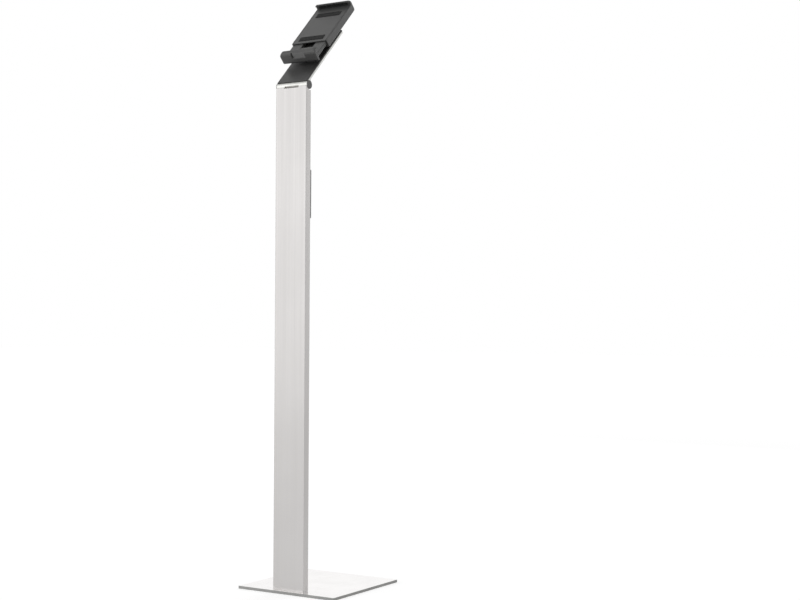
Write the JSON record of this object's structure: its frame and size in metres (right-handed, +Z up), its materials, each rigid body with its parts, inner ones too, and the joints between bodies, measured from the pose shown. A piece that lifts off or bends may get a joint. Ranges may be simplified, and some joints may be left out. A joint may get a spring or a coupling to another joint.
{
  "type": "adjustable tablet floor stand",
  "caption": "Free-standing floor stand: flat steel base, slim aluminium column with cable groove, tilting arm and turning clamp holder for a tablet.",
  "frame": {"origin": "on the floor, under the middle of the base plate", "axes": "+Z up along the column, +X to the right seen from the front, -Y to the front that the device faces"},
  "size_m": [0.25, 0.25, 1.2872],
  "materials": {
    "brushed_plate": "fine brushed stainless steel, softly mirroring",
    "anodised_aluminium": "satin anodised silver aluminium, lightly brushed along its length",
    "disc_aluminium": "turned satin aluminium disc",
    "cast_grey": "satin grey zinc die casting",
    "zinc_steel": "bright zinc-plated steel",
    "dark_plastic": "dark grey fine-textured ABS",
    "holder_plastic": "charcoal fine-textured glass-filled nylon",
    "dark_inlay": "dark grey satin polycarbonate cover",
    "black_plastic": "black acetal",
    "strip_grey": "dark grey soft extruded strip",
    "washer_plastic": "natural acetal",
    "rubber": "black matte rubber"
  },
  "bodies": {
    "stand": {"base_plate": "brushed_plate", "base_pads": "rubber", "base_screws": "zinc_steel", "column": "anodised_aluminium", "hinge_bracket": "cast_grey", "hinge_bracket_screws": "zinc_steel", "groove_strip_upper": "strip_grey", "groove_strip_lower": "strip_grey", "charger_box_base": "dark_plastic", "charger_box_screws": "zinc_steel", "groove_nuts": "zinc_steel"},
    "box_cover": {"charger_box_cover": "dark_plastic"},
    "arm": {"arm": "anodised_aluminium", "arm_front_cover": "dark_inlay", "hinge_axle": "zinc_steel", "hinge_washers": "washer_plastic", "hinge_disc_springs": "zinc_steel", "axle_nut": "zinc_steel", "end_cap_left": "dark_plastic", "end_cap_right": "dark_plastic", "pivot_spindle": "zinc_steel", "pivot_cover": "disc_aluminium", "hub_disc": "black_plastic", "hub_screws": "zinc_steel", "pivot_friction_ring": "washer_plastic", "pivot_washer": "zinc_steel", "pivot_wave_spring": "zinc_steel", "pivot_nut": "zinc_steel"},
    "holder": {"holder_housing": "holder_plastic", "holder_face": "holder_plastic", "face_pads": "rubber", "upper_claw_pad": "rubber", "lock_screw": "zinc_steel"},
    "claw": {"lower_claw": "holder_plastic", "lower_claw_pads": "rubber"}
  },
  "joints": [
    {"name": "arm_tilt", "type": "hinge", "parent": "stand", "child": "arm", "pos_m": [0, -0.103, 1.08], "axis": [-1, 0, 0], "range_deg": [-45, 45]},
    {"name": "holder_turn", "type": "hinge", "parent": "arm", "child": "holder", "pos_m": [0, -0.00895, 1.19809], "axis": [0, -0.7071, 0.7071], "continuous": true},
    {"name": "claw_slide", "type": "slide", "parent": "holder", "child": "claw", "axis": [0, 0.7071, 0.7071], "range_m": [-0.046, 0.046]},
    {"name": "box_cover_pull", "type": "slide", "parent": "stand", "child": "box_cover", "axis": [0, 1, 0], "range_m": [0, 0.02]}
  ]
}
